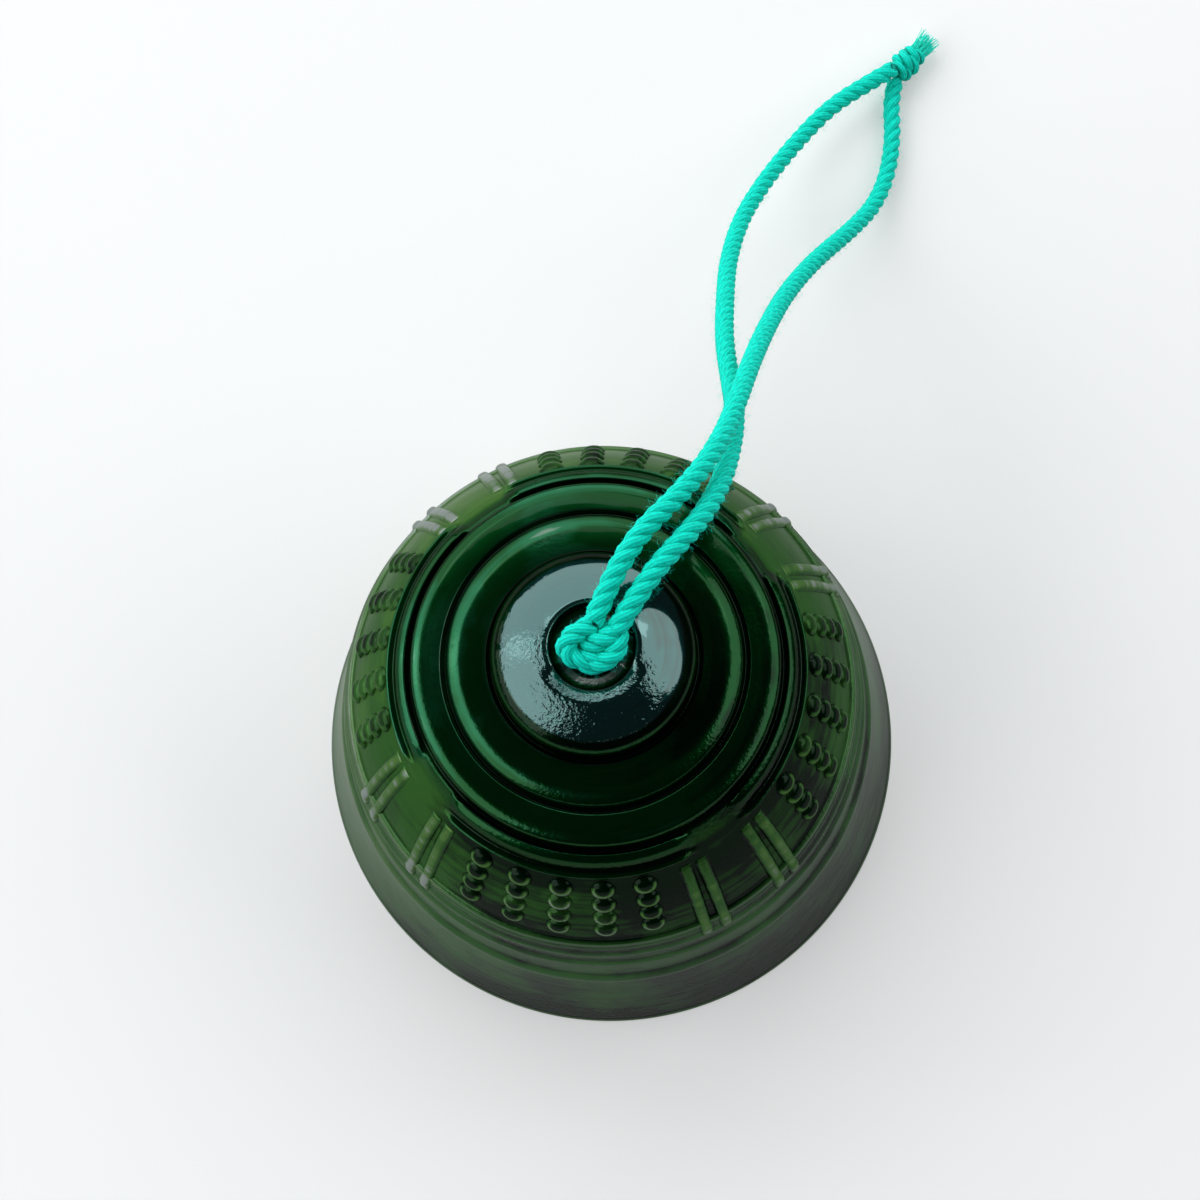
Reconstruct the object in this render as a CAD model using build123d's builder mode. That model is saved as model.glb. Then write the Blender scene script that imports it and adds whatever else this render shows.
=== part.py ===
from build123d import *
import os
from math import atan2, cos, degrees, radians, sin, sqrt, tan

# A cast-iron wind bell in the shape of a temple bell, standing mouth down on its rim, with a twisted cord
# through the crown. Millimetres, +Z up, origin at the centre of the rim's bottom plane. One of the four
# framed panels faces -Y, the others +X, +Y and -X.

# The casting as a whole
rim_diameter = 62.2
bell_height = 49.2
wall = 2.7
rim_wall = 3.1
rim_lip_height = 4.0
rim_round = 0.7
crown_wall = 3.0
cut_overrun = 1.0

# The hole in the crown, with the funnel that the knot sits in
hole_diameter = 5.0
funnel_diameter = 7.8
funnel_wall_depth = 0.7
funnel_cone_depth = 1.3

# The knob round the hole
knob_diameter = 18.8
knob_height = 5.0
knob_lip_slope = 18.0
knob_brow_inset = 1.0
knob_brow_drop = 2.5
knob_foot_height = 1.2

# The two ring steps outside the knob, each with a bevelled outer edge and a groove at its foot
ring_1_width = 4.3
ring_1_drop = 1.3
ring_1_bevel = 1.3
ring_2_width = 3.5
ring_2_drop = 1.7
ring_2_bevel = 0.9
ring_fall = 0.25
groove_width = 0.5
groove_depth = 0.5

# The shoulder ledges over the panels
shoulder_width = 1.7
shoulder_drop = 1.9
shoulder_bevel = 0.4
shoulder_lift = 0.1
shoulder_fall = 0.5

# The four panels and their frames
panel_count = 4
panel_half_angle = 37.8
panel_top_drop = 1.2
panel_height = 9.6
panel_lean = 5.6
panel_bulge_radius = 42.0
frame_rib_width = 1.0
frame_rib_height = 0.5
frame_rib_root = 0.8
frame_rib_angles = (33.2, 37.8)
frame_line_width = 0.8

# The bosses on each panel, in rows from the top down
boss_rows = 4
boss_columns = 5
boss_radius = 1.1
boss_top_radius = 0.6
boss_height = 0.6
boss_root = 0.1
boss_top_inset = 2.8
boss_row_step = 2.2
boss_column_angle = 11.0

# The belts round the skirt below the panels
belt_step = 0.7
belt_step_height = 1.3
belt_drops = (2.0, 5.9, 11.9)
belt_radii = (0.6, 0.6, 1.6)
belt_height = 0.3
skirt_waist_inset = 0.5

# The cord
cord_diameter = 2.0
strand_gap = 0.1
cord_play = 2.9
knot_seat_gap = 0.25

# The clapper
clapper_diameter = 28.0
clapper_thickness = 1.6
clapper_edge_round = 0.5
clapper_hole_clearance = 0.25
clapper_hang = 23.0
tail_leg = 4.5
tail_bend_radius = 1.9
running_gap = 0.15
wall_gap = 0.5

# Radii and heights of the casting, worked out from the sizes above
rim_radius = rim_diameter / 2
hole_radius = hole_diameter / 2
funnel_radius = funnel_diameter / 2
knob_radius = knob_diameter / 2
knob_foot_z = bell_height - knob_height
ring_1_radius = knob_radius + ring_1_width
ring_1_foot_z = knob_foot_z - ring_1_drop
ring_2_radius = ring_1_radius + ring_2_width
ring_2_foot_z = ring_1_foot_z - ring_2_drop
shoulder_radius = ring_2_radius + shoulder_width
shoulder_foot_z = ring_2_foot_z - shoulder_drop
panel_top_z = shoulder_foot_z - panel_top_drop
panel_foot_z = panel_top_z - panel_height
panel_foot_radius = shoulder_radius + panel_lean
belt_step_z = panel_foot_z - belt_step_height
belt_step_radius = panel_foot_radius + belt_step
ceiling_z = knob_foot_z - crown_wall
band_angle = 180 / panel_count
band_width = 2 * shoulder_radius * sin(radians(band_angle - panel_half_angle))
skirt_waist_z = belt_step_z / 2


def skirt_radius(z):
    """Radius of the skirt's outer face at a height. The face is drawn in a little at its waist."""
    straight = rim_radius + (belt_step_radius - rim_radius) * z / belt_step_z
    return straight - skirt_waist_inset * (1 - (z / skirt_waist_z - 1) ** 2)


def slope(angle):
    """Direction that falls outwards at an angle to level."""
    return (cos(radians(angle)), -sin(radians(angle)))


# The shoulder ledges and the top lines of the frames, which stop at the four plain bands
with BuildPart() as shoulder_ledges:
    with BuildSketch(Plane.XZ):
        with BuildLine():
            Polyline(
                (ring_2_radius + groove_width, ring_2_foot_z - wall),
                (ring_2_radius + groove_width, ring_2_foot_z + shoulder_lift),
                (shoulder_radius - shoulder_bevel, ring_2_foot_z + shoulder_lift - shoulder_fall),
                (shoulder_radius, shoulder_foot_z + groove_depth),
                (shoulder_radius, shoulder_foot_z),
                (shoulder_radius + frame_line_width, shoulder_foot_z),
                (shoulder_radius + frame_line_width, shoulder_foot_z - frame_line_width),
                (shoulder_radius - wall / 2, shoulder_foot_z - wall),
                close=True,
            )
        make_face()
    revolve(axis=Axis.Z)
    with BuildSketch(Plane.XY.offset(shoulder_foot_z - wall)):
        with PolarLocations(rim_radius / 2, panel_count, start_angle=band_angle):
            Rectangle(rim_radius, band_width)
    extrude(amount=bell_height, mode=Mode.SUBTRACT)

# The upright ribs at both sides of each panel, two and two
with BuildPart() as frame_ribs:
    with BuildSketch(Plane.XZ):
        with BuildLine():
            face_top = (shoulder_radius, panel_top_z + panel_top_drop)
            face_foot = (panel_foot_radius, panel_foot_z)
            belt = (skirt_radius(belt_step_z - belt_drops[0]), belt_step_z - belt_drops[0])
            Polyline(
                (face_top[0] + frame_rib_height, face_top[1]),
                (face_foot[0] + frame_rib_height, face_foot[1]),
                (belt[0] + frame_rib_height, belt[1]),
                (belt[0] - frame_rib_root, belt[1]),
                (face_foot[0] - frame_rib_root, face_foot[1]),
                (face_top[0] - frame_rib_root, face_top[1]),
                close=True,
            )
        make_face()
    revolve(axis=Axis.Z)
    with BuildSketch(Plane.XY):
        for angle in frame_rib_angles:
            with PolarLocations(rim_radius / 2, panel_count, start_angle=angle):
                Rectangle(rim_radius, frame_rib_width)
            with PolarLocations(rim_radius / 2, panel_count, start_angle=-angle):
                Rectangle(rim_radius, frame_rib_width)
    extrude(amount=bell_height, mode=Mode.INTERSECT)

# The bell: one casting, hollow, with the crown steps, ledges, frames and belts on it
with BuildPart() as bell_body:
    with BuildSketch(Plane.XZ):
        with BuildLine():
            Line((0, bell_height), (funnel_radius, bell_height))
            dome = TangentArc(
                (funnel_radius, bell_height),
                (knob_radius - knob_brow_inset, bell_height - knob_brow_drop),
                tangent=slope(knob_lip_slope),
            )
            brow = TangentArc(
                dome @ 1,
                (knob_radius, knob_foot_z + knob_foot_height),
                tangent=dome % 1,
            )
            Polyline(
                brow @ 1,
                (knob_radius, knob_foot_z - groove_depth),
                (knob_radius + groove_width, knob_foot_z - groove_depth),
                (knob_radius + groove_width, knob_foot_z),
                (ring_1_radius - ring_1_bevel, knob_foot_z - ring_fall),
                (ring_1_radius, ring_1_foot_z),
                (ring_1_radius, ring_1_foot_z - groove_depth),
                (ring_1_radius + groove_width, ring_1_foot_z - groove_depth),
                (ring_1_radius + groove_width, ring_1_foot_z),
                (ring_2_radius - ring_2_bevel, ring_1_foot_z - ring_fall),
                (ring_2_radius, ring_2_foot_z),
                (ring_2_radius, ring_2_foot_z - groove_depth),
                (ring_2_radius + groove_width, ring_2_foot_z - groove_depth),
                (shoulder_radius, panel_top_z + panel_top_drop),
            )
            panel_wall = RadiusArc(
                (shoulder_radius, panel_top_z + panel_top_drop),
                (panel_foot_radius, panel_foot_z),
                -panel_bulge_radius,
            )
            Line((panel_foot_radius, panel_foot_z), (belt_step_radius, belt_step_z))
            ThreePointArc(
                (belt_step_radius, belt_step_z),
                (skirt_radius(skirt_waist_z), skirt_waist_z),
                (rim_radius, rim_round),
            )
            rim_corner = TangentArc((rim_radius, rim_round), (rim_radius - rim_round, 0), tangent=(0, -1))
            Polyline(
                rim_corner @ 1,
                (rim_radius - rim_wall, 0),
                (rim_radius - rim_wall, rim_lip_height),
                (skirt_radius(rim_lip_height + rim_wall) - wall, rim_lip_height + rim_wall),
            )
            ThreePointArc(
                (skirt_radius(rim_lip_height + rim_wall) - wall, rim_lip_height + rim_wall),
                (skirt_radius(skirt_waist_z) - wall, skirt_waist_z),
                (panel_foot_radius - wall, panel_foot_z - wall / 2),
            )
            Line(
                (panel_foot_radius - wall, panel_foot_z - wall / 2),
                (shoulder_radius - wall, shoulder_foot_z - wall),
            )
            TangentArc(
                (knob_radius, ceiling_z),
                (shoulder_radius - wall, shoulder_foot_z - wall),
                tangent=(1, 0),
            )
            Polyline((knob_radius, ceiling_z), (0, ceiling_z), (0, bell_height))
        make_face()
    revolve(axis=Axis.Z)
    add(shoulder_ledges.part)
    add(frame_ribs.part)
    for row in range(boss_rows):
        share = (boss_top_inset + row * boss_row_step) / panel_wall.length
        outwards = (panel_wall % share).rotate(Axis.Z, 90)
        foot = panel_wall @ share - outwards * boss_root
        lean = degrees(atan2(outwards.X, outwards.Y))
        for column in range(boss_columns):
            turn = (column - (boss_columns - 1) / 2) * boss_column_angle
            with Locations((0, 0, foot.Y)):
                with PolarLocations(foot.X, panel_count, start_angle=turn):
                    Cone(
                        boss_radius,
                        boss_top_radius,
                        boss_height + boss_root,
                        rotation=(0, lean, 0),
                        align=(Align.CENTER, Align.CENTER, Align.MIN),
                    )
    for drop, radius in zip(belt_drops, belt_radii):
        belt_z = belt_step_z - drop
        with Locations((0, 0, belt_z)):
            Torus(skirt_radius(belt_z) + belt_height - radius, radius)
    with BuildSketch(Plane.XZ):
        with BuildLine():
            Polyline(
                (0, bell_height + cut_overrun),
                (funnel_radius, bell_height + cut_overrun),
                (funnel_radius, bell_height - funnel_wall_depth),
                (hole_radius, bell_height - funnel_wall_depth - funnel_cone_depth),
                (hole_radius, ceiling_z - cut_overrun),
                (0, ceiling_z - cut_overrun),
                close=True,
            )
        make_face()
    revolve(axis=Axis.Z, mode=Mode.SUBTRACT)

# Knots. Each is a round core under two wraps of cord that cross over it.
cord_radius = cord_diameter / 2
strand_x = cord_radius + strand_gap / 2
wrap_share = 1.05
core_share = 1.3
wrap_tilt = 40.0
wrap_radius = cord_diameter * wrap_share
knot_radius = wrap_radius + cord_radius
core_radius = cord_diameter * core_share

# The crown knot rests on the edge where the funnel meets the hole
funnel_edge_z = bell_height - funnel_wall_depth - funnel_cone_depth
crown_knot_z = funnel_edge_z + sqrt(knot_radius**2 - hole_radius**2) + knot_seat_gap
with BuildPart() as crown_knot:
    with Locations((0, 0, crown_knot_z)):
        Sphere(core_radius)
        for tilt in (wrap_tilt, -wrap_tilt):
            with Locations(Rotation(tilt, 0, 0)):
                Torus(wrap_radius, cord_radius)

# The stop knot hangs under the crown. Its lower half turns inside the cord's play.
stop_knot_z = ceiling_z - cord_play - running_gap - core_radius
stop_knot_top_z = ceiling_z - cord_play - running_gap
with BuildPart() as stop_knot:
    with Locations((0, 0, stop_knot_z)):
        Sphere(core_radius)
        for tilt in (wrap_tilt, -wrap_tilt):
            with Locations(Rotation(tilt, 0, 0)):
                Torus(wrap_radius, cord_radius)
    split(bisect_by=Plane.XY.offset(stop_knot_top_z), keep=Keep.BOTTOM)

# The two runs of cord through the crown hole
with BuildPart() as crown_cord:
    with BuildSketch(Plane.XY.offset(stop_knot_top_z + running_gap)):
        with GridLocations(2 * strand_x, 0, 2, 1):
            Circle(cord_radius)
    extrude(amount=crown_knot_z - core_radius / 2 - stop_knot_top_z - running_gap)

# The clapper: a round plate on the doubled cord, carried by a knot under it
clapper_foot_z = stop_knot_z - clapper_hang
clapper_radius = clapper_diameter / 2
clapper_hole_radius = strand_x + cord_radius + clapper_hole_clearance
with BuildPart() as clapper_disc:
    with BuildSketch(Plane.XY.offset(clapper_foot_z)):
        Circle(clapper_radius)
        Circle(clapper_hole_radius, mode=Mode.SUBTRACT)
    extrude(amount=clapper_thickness)
    rims = clapper_disc.edges().filter_by(GeomType.CIRCLE).group_by(SortBy.RADIUS)[-1]
    fillet(rims, clapper_edge_round)

clapper_knot_z = clapper_foot_z - core_radius
with BuildPart() as clapper_knot:
    with Locations((0, 0, clapper_knot_z)):
        Sphere(core_radius)
        for tilt in (wrap_tilt, -wrap_tilt):
            with Locations(Rotation(tilt, 0, 0)):
                Torus(wrap_radius, cord_radius)
    split(bisect_by=Plane.XY.offset(clapper_foot_z), keep=Keep.BOTTOM)

with BuildPart() as clapper_cord:
    with BuildSketch(Plane.XY.offset(clapper_knot_z)):
        with GridLocations(2 * strand_x, 0, 2, 1):
            Circle(cord_radius)
    extrude(amount=clapper_hang + core_radius - knot_radius - running_gap)

with BuildPart() as clapper_tail:
    with BuildLine() as tail_path:
        down_leg = Line((-tail_bend_radius, 0, clapper_knot_z), (-tail_bend_radius, 0, clapper_knot_z - tail_leg))
        bend = TangentArc(down_leg @ 1, (tail_bend_radius, 0, clapper_knot_z - tail_leg), tangent=(0, 0, -1))
        Line(bend @ 1, (tail_bend_radius, 0, clapper_knot_z))
    with BuildSketch(Plane(origin=tail_path.line @ 0, z_dir=tail_path.line % 0)):
        Circle(cord_radius)
    sweep()

# The hanging loop: two strands from the crown knot over the edge of the bell and down to the table, one
# crossing above the other, then both into the knot that ties their ends. The points are the cord's route.
over_route = [
    (-0.2, 1.6, 50.3),
    (0.9, 6.0, 51.4),
    (2.8, 10.4, 51.6),
    (5.2, 14.0, 50.6),
    (7.2, 17.9, 48.7),
    (8.5, 22.2, 45.8),
    (9.1, 26.9, 41.6),
    (9.6, 32.9, 35.2),
    (10.4, 39.8, 27.0),
    (11.8, 47.5, 18.4),
    (14.4, 54.7, 11.4),
    (17.8, 61.0, 5.8),
    (20.4, 66.3, 2.3),
    (21.4, 71.4, 1.2),
    (21.2, 76.3, 1.1),
    (20.4, 80.0, 1.2),
    (20.6, 82.9, 1.1),
]
under_route = [
    (1.9, 1.3, 50.2),
    (3.7, 5.6, 51.3),
    (5.6, 9.0, 51.1),
    (7.5, 12.3, 49.8),
    (8.9, 16.7, 46.8),
    (9.3, 22.0, 42.0),
    (9.0, 27.4, 36.8),
    (7.8, 32.4, 31.7),
    (6.4, 38.2, 26.6),
    (5.6, 44.8, 21.0),
    (5.0, 51.6, 15.4),
    (5.5, 58.8, 10.4),
    (7.4, 65.3, 7.0),
    (10.1, 71.4, 4.8),
    (13.3, 76.9, 3.7),
    (16.9, 80.6, 3.1),
    (20.0, 83.2, 3.1),
]
bend_share = 0.45


def bend_radii(route):
    """Radius of the arc at each inner point of a route, as large as its two runs allow."""
    points = [Vector(*point) for point in route]
    radii = []
    for before, here, after in zip(points, points[1:], points[2:]):
        shorter_run = min((here - before).length, (after - here).length)
        turn = (here - before).get_angle(after - here)
        radii.append(bend_share * shorter_run / tan(radians(turn) / 2))
    return radii


def strand(route):
    """A round cord along a route of straight runs and tangent arcs."""
    radii = bend_radii(route)
    with BuildPart() as cord:
        with BuildLine() as path:
            run = FilletPolyline(*route, radius=radii)
        with BuildSketch(Plane(origin=run @ 0, z_dir=run % 0)) as section:
            Circle(cord_radius)
        sweep()
    swept = section.sketch.area * run.length
    print("strand length", round(run.length, 1), "volume over section x length", cord.part.volume / swept)
    print("bend radii", [round(radius, 1) for radius in radii])
    return cord.part


hanging_strand_over = strand(over_route)
hanging_strand_under = strand(under_route)

# The knot at the far end of the loop, pulled tight and long, lying on the table
end_knot_heading = 55.7
end_knot_ball_radii = (1.7, 1.8, 1.55)
end_knot_step = 1.5
end_tail_diameter = 1.6
end_tail_length = 2.4
end_tail_spread = 3.0
end_tail_radius = end_tail_diameter / 2
strand_ends = (Vector(*over_route[-1]) + Vector(*under_route[-1])) / 2
end_knot_line = Plane(
    origin=(strand_ends.X, strand_ends.Y, max(end_knot_ball_radii)),
    x_dir=(0, 0, 1),
    z_dir=(cos(radians(end_knot_heading)), sin(radians(end_knot_heading)), 0),
)
with BuildPart(end_knot_line) as end_knot:
    for step, ball_radius in enumerate(end_knot_ball_radii):
        with Locations((0, 0, end_knot_step / 2 + step * end_knot_step)):
            Sphere(ball_radius)

tail_start = end_knot_step * len(end_knot_ball_radii)
with BuildPart(end_knot_line) as end_tails:
    for side in (1, -1):
        root = Location((0, side * (end_tail_radius + strand_gap), tail_start), (-side * end_tail_spread, 0, 0))
        with Locations(root):
            Cylinder(end_tail_radius, end_tail_length, align=(Align.CENTER, Align.CENTER, Align.MIN))

# How far the clapper swings before its edge is the wall gap away from the bell, with the cord pulled up
edge_reach = sqrt(clapper_radius**2 + clapper_hang**2)
edge_angle = degrees(atan2(clapper_radius, clapper_hang))


def swing_room(angle):
    """Room between the clapper's lower edge and the bell's inner wall at a swing angle."""
    edge_turn = radians(edge_angle + angle)
    edge_z = stop_knot_z + cord_play - edge_reach * cos(edge_turn)
    return skirt_radius(edge_z) - wall - edge_reach * sin(edge_turn)


swing_limit = max(angle for angle in range(round(edge_angle)) if swing_room(angle) > wall_gap)
print("pivot height", round(stop_knot_z, 2), "swing limit", swing_limit, "degrees")

pieces = {
    "bell_body": bell_body.part,
    "crown_knot": crown_knot.part,
    "crown_cord": crown_cord.part,
    "hanging_strand_over": hanging_strand_over,
    "hanging_strand_under": hanging_strand_under,
    "end_knot": end_knot.part,
    "end_tails": end_tails.part,
    "stop_knot": stop_knot.part,
    "clapper_cord": clapper_cord.part,
    "clapper_disc": clapper_disc.part,
    "clapper_knot": clapper_knot.part,
    "clapper_tail": clapper_tail.part,
}
os.makedirs("parts", exist_ok=True)
for name, piece in pieces.items():
    piece.label = name
    export_step(piece, f"parts/{name}.step")
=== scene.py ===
import bpy
import random
from math import atan2, ceil, cos, pi, radians, sin, sqrt, tan
from mathutils import Matrix, Vector, noise


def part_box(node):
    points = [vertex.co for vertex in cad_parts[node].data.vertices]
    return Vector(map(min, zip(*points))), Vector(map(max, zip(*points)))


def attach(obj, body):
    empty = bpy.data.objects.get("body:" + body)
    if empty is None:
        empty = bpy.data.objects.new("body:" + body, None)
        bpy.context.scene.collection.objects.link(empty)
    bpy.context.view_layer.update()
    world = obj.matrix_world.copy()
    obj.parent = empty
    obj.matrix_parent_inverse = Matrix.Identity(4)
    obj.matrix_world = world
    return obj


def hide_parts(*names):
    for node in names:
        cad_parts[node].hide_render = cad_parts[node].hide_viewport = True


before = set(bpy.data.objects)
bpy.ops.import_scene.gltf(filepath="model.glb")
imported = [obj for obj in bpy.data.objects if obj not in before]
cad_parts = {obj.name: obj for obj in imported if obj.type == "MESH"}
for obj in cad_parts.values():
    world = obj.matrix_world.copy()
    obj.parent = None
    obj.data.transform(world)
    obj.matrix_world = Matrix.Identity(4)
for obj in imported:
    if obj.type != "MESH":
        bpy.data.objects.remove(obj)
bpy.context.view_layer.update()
mm = 0.001
scene = bpy.context.scene
scene.view_settings.view_transform = "Standard"

# The bell casting. It is one hollow piece of cast iron, poured in a sand mould and coated with green
# lacquer, which pools dark in the grooves and pulls thin over the raised edges. It is turned here round
# its axis, with stepped ledges over the four panels and plain bands between them.
bell_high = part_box("bell_body")[1]
rim_radius = bell_high.x
crown_top = bell_high.z
wall = 2.7 * mm
lip_wall = 3.1 * mm
hole_radius = 2.5 * mm
funnel_radius = 3.9 * mm
knob_radius = 9.4 * mm
ring_1_radius = 13.7 * mm
ring_2_radius = 17.2 * mm
shoulder_radius = 18.9 * mm
panel_foot_radius = 24.5 * mm
step_radius = 25.2 * mm
knob_foot = crown_top - 5.0 * mm
ring_1_foot = knob_foot - 1.3 * mm
ring_2_foot = ring_1_foot - 1.7 * mm
shoulder_foot = ring_2_foot - 1.9 * mm
panel_top = shoulder_foot - 1.2 * mm
panel_foot = panel_top - 9.6 * mm
step_foot = panel_foot - 1.3 * mm
ceiling = knob_foot - 3.0 * mm
panel_bulge = 42.0 * mm
skirt_waist = 0.5 * mm
groove = 0.5 * mm
belts = ((2.0 * mm, 0.3 * mm, 0.55 * mm), (5.9 * mm, 0.3 * mm, 0.55 * mm), (11.9 * mm, 0.35 * mm, 1.1 * mm))
panel_half = radians(37.8)
panel_turns = [quarter * pi / 2 for quarter in range(4)]
unevenness = 0.035 * mm


def circle_arc(start, end, radius, steps):
    """Points of a circle's arc that bulges outwards, from start to end, both left out."""
    chord = end - start
    middle = (start + end) / 2
    outwards = Vector((-chord.y, chord.x)).normalized()
    sag_centre = middle - outwards * sqrt(radius**2 - (chord.length / 2) ** 2)
    first = atan2(start.y - sag_centre.y, start.x - sag_centre.x)
    last = atan2(end.y - sag_centre.y, end.x - sag_centre.x)
    points = []
    for step in range(1, steps):
        angle = first + (last - first) * step / steps
        points.append(sag_centre + radius * Vector((cos(angle), sin(angle))))
    return points


def rounded(corners):
    """A profile through (radius, height, rounding) corners, each rounded by its third value."""
    places = [Vector(corner[:2]) for corner in corners]
    line = [places[0]]
    for before, here, after, corner in zip(places, places[1:], places[2:], corners[1:]):
        reach = min(corner[2], 0.45 * (here - before).length, 0.45 * (after - here).length)
        if reach == 0:
            line.append(here)
            continue
        start = here + (before - here).normalized() * reach
        end = here + (after - here).normalized() * reach
        for share in (0, 0.25, 0.5, 0.75, 1):
            line.append(start.lerp(here, share).lerp(here.lerp(end, share), share))
    line.append(places[-1])
    return line


def evenly(line, step):
    """Points about one step apart along a line of points, ends kept."""
    lengths = [(after - before).length for before, after in zip(line, line[1:])]
    total = sum(lengths)
    count = max(1, ceil(total / step))
    points = [line[0].copy()]
    run, index = 0.0, 0
    for number in range(1, count):
        target = total * number / count
        while run + lengths[index] < target:
            run += lengths[index]
            index += 1
        points.append(line[index].lerp(line[index + 1], (target - run) / lengths[index]))
    points.append(line[-1].copy())
    return points


def skirt(height):
    """Outer radius of the skirt at a height, with its belts."""
    straight = rim_radius + (step_radius - rim_radius) * height / step_foot
    radius = straight - skirt_waist * (1 - (2 * height / step_foot - 1) ** 2)
    for drop, proud, half_width in belts:
        across = abs(height - (step_foot - drop)) / half_width
        radius += proud * max(0.0, 1 - across**2) ** 0.5 if across < 1 else 0.0
    return radius


crisp, soft = 0.18 * mm, 0.35 * mm
knob_lip = Vector((funnel_radius + 0.3 * mm, crown_top - 0.03 * mm))
knob_brow = Vector((knob_radius - 0.5 * mm, crown_top - 2.6 * mm))
knob_side = Vector((knob_radius, crown_top - 3.6 * mm))
knob_dome = [
    (*point, 0)
    for point in [
        knob_lip,
        *circle_arc(knob_lip, knob_brow, 13.0 * mm, 20),
        knob_brow,
        *circle_arc(knob_brow, knob_side, 1.8 * mm, 8),
        knob_side,
    ]
]
crown_profile = rounded([
    (hole_radius, ceiling, 0),
    (hole_radius, crown_top - 2.0 * mm, soft),
    (funnel_radius, crown_top - 0.7 * mm, crisp),
    (funnel_radius, crown_top - 0.1 * mm, crisp),
    *knob_dome,
    (knob_radius, knob_foot - groove, crisp),
    (knob_radius + groove, knob_foot - groove, crisp),
    (knob_radius + groove, knob_foot, crisp),
    (ring_1_radius - 1.3 * mm, knob_foot - 0.2 * mm, soft),
    (ring_1_radius - 0.25 * mm, knob_foot - 0.7 * mm, soft),
    (ring_1_radius, ring_1_foot, crisp),
    (ring_1_radius, ring_1_foot - groove, crisp),
    (ring_1_radius + groove, ring_1_foot - groove, crisp),
    (ring_1_radius + groove, ring_1_foot, crisp),
    (ring_2_radius - 1.0 * mm, ring_1_foot - 0.25 * mm, soft),
    (ring_2_radius - 0.2 * mm, ring_1_foot - 0.65 * mm, soft),
    (ring_2_radius, ring_2_foot, crisp),
    (ring_2_radius, ring_2_foot - groove, crisp),
    (ring_2_radius + groove, ring_2_foot - groove, 0),
])
ledge_profile = rounded([
    (ring_2_radius + groove, ring_2_foot - groove, 0),
    (ring_2_radius + groove, ring_2_foot + 0.1 * mm, crisp),
    (shoulder_radius - 0.4 * mm, ring_2_foot - 0.4 * mm, soft),
    (shoulder_radius, shoulder_foot + groove, crisp),
    (shoulder_radius, shoulder_foot, crisp),
    (shoulder_radius + 0.8 * mm, shoulder_foot, crisp),
    (shoulder_radius + 0.8 * mm, shoulder_foot - 0.8 * mm, crisp),
    (shoulder_radius + 0.45 * mm, panel_top, 0),
])
wall_top = Vector((shoulder_radius, shoulder_foot))
wall_foot = Vector((panel_foot_radius, panel_foot))
wall_line = [wall_top, *circle_arc(wall_top, wall_foot, panel_bulge, 24), wall_foot]
wall_split = min(range(len(wall_line)), key=lambda row: abs(wall_line[row].y - panel_top))
ledge_profile[-1] = wall_line[wall_split]
band_profile = [Vector((ring_2_radius + groove, ring_2_foot - groove)), *wall_line[: wall_split + 1]]
ledge_rows = 34
ledge_length = sum((after - before).length for before, after in zip(ledge_profile, ledge_profile[1:]))
band_length = sum((after - before).length for before, after in zip(band_profile, band_profile[1:]))
ledge_line = evenly(ledge_profile, ledge_length / (ledge_rows - 0.5))
band_line = evenly(band_profile, band_length / (ledge_rows - 0.5))
panel_line = evenly(wall_line[wall_split:], 0.45 * mm)
sill_line = rounded([
    (panel_foot_radius, panel_foot, 0),
    (panel_foot_radius + 0.4 * mm, panel_foot - 0.05 * mm, crisp),
    (step_radius - 0.12 * mm, step_foot + 0.2 * mm, crisp),
    (skirt(step_foot), step_foot, 0),
])
skirt_foot = 0.8 * mm
skirt_rows = 72
skirt_line = [Vector((skirt(height), height)) for height in (
    step_foot - (step_foot - skirt_foot) * row / skirt_rows for row in range(skirt_rows + 1)
)]
inside_line = rounded([
    (rim_radius, skirt_foot, 0),
    (rim_radius, 0, 0.7 * mm),
    (rim_radius - lip_wall, 0, crisp),
    (rim_radius - lip_wall, 4.0 * mm, crisp),
    (skirt(7.1 * mm) - wall, 7.1 * mm, soft),
    (skirt(14.0 * mm) - wall - 0.1 * mm, 14.0 * mm, 4 * mm),
    (panel_foot_radius - wall, panel_foot - wall / 2, 2 * mm),
    (shoulder_radius - wall, shoulder_foot - wall, 2 * mm),
    (knob_radius + 3.0 * mm, ceiling - 0.6 * mm, 2 * mm),
    (knob_radius, ceiling, soft),
    (hole_radius, ceiling, 0),
])


def column_angles():
    """Angles round the bell, closer together where the ledges end."""
    wide_step, close_step, close_start, close_count = 1.5, 0.4, 4.8, 15
    wide_count = round(45 / wide_step)
    least_gap = radians(0.15)
    angles = []
    for turn in panel_turns:
        angles += [turn + radians(step * wide_step) for step in range(-wide_count, wide_count)]
        for side in (-1, 1):
            for step in range(close_count):
                angles.append(turn + side * (panel_half + radians(step * close_step - close_start)))
    kept = []
    for angle in sorted(angles):
        if not kept or angle - kept[-1] > least_gap:
            kept.append(angle)
    return kept


ledge_overrun = radians(1.6)
ledge_slope = radians(7)


def ledge_share(angle):
    """One over a panel and nought on the plain bands, with a short slope between."""
    off_centre = abs((angle + pi / 4) % (pi / 2) - pi / 4)
    share = (panel_half + ledge_overrun - off_centre) / ledge_slope
    share = min(1.0, max(0.0, share))
    return share * share * (3 - 2 * share)


def uneven(place):
    """The slight waviness that a sand mould leaves."""
    broad, fine = 7 * mm, 2.2 * mm
    return unevenness * noise.noise(place / broad) + 0.3 * unevenness * noise.noise(place / fine)


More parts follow.
